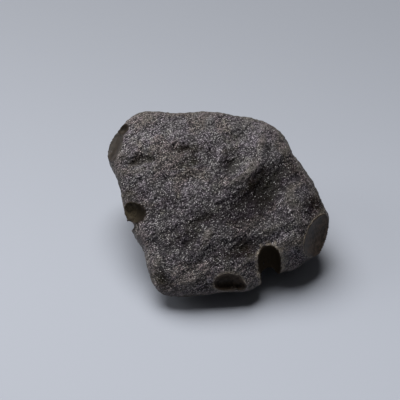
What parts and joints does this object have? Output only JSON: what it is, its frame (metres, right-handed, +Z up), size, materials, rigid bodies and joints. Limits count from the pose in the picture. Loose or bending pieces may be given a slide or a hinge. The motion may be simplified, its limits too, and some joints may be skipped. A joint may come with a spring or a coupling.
{
  "type": "tektite",
  "caption": "Dark natural glass stone with a broad granular face, smooth scooped scars, a deep notch and a small flat foot to rest on.",
  "frame": {"origin": "on the surface it rests on, under the middle of the stone's box", "axes": "+Z up from the flat foot, +X to the right along the longest side, -Y towards the low edge of the broad face"},
  "size_m": [0.0556, 0.0509, 0.0264],
  "materials": {
    "tektite_glass": "dark natural glass, finely granular and sparkling on the skin, smooth and brown-black in the scooped scars"
  },
  "bodies": {
    "root": {"tektite": "tektite_glass"}
  },
  "joints": []
}
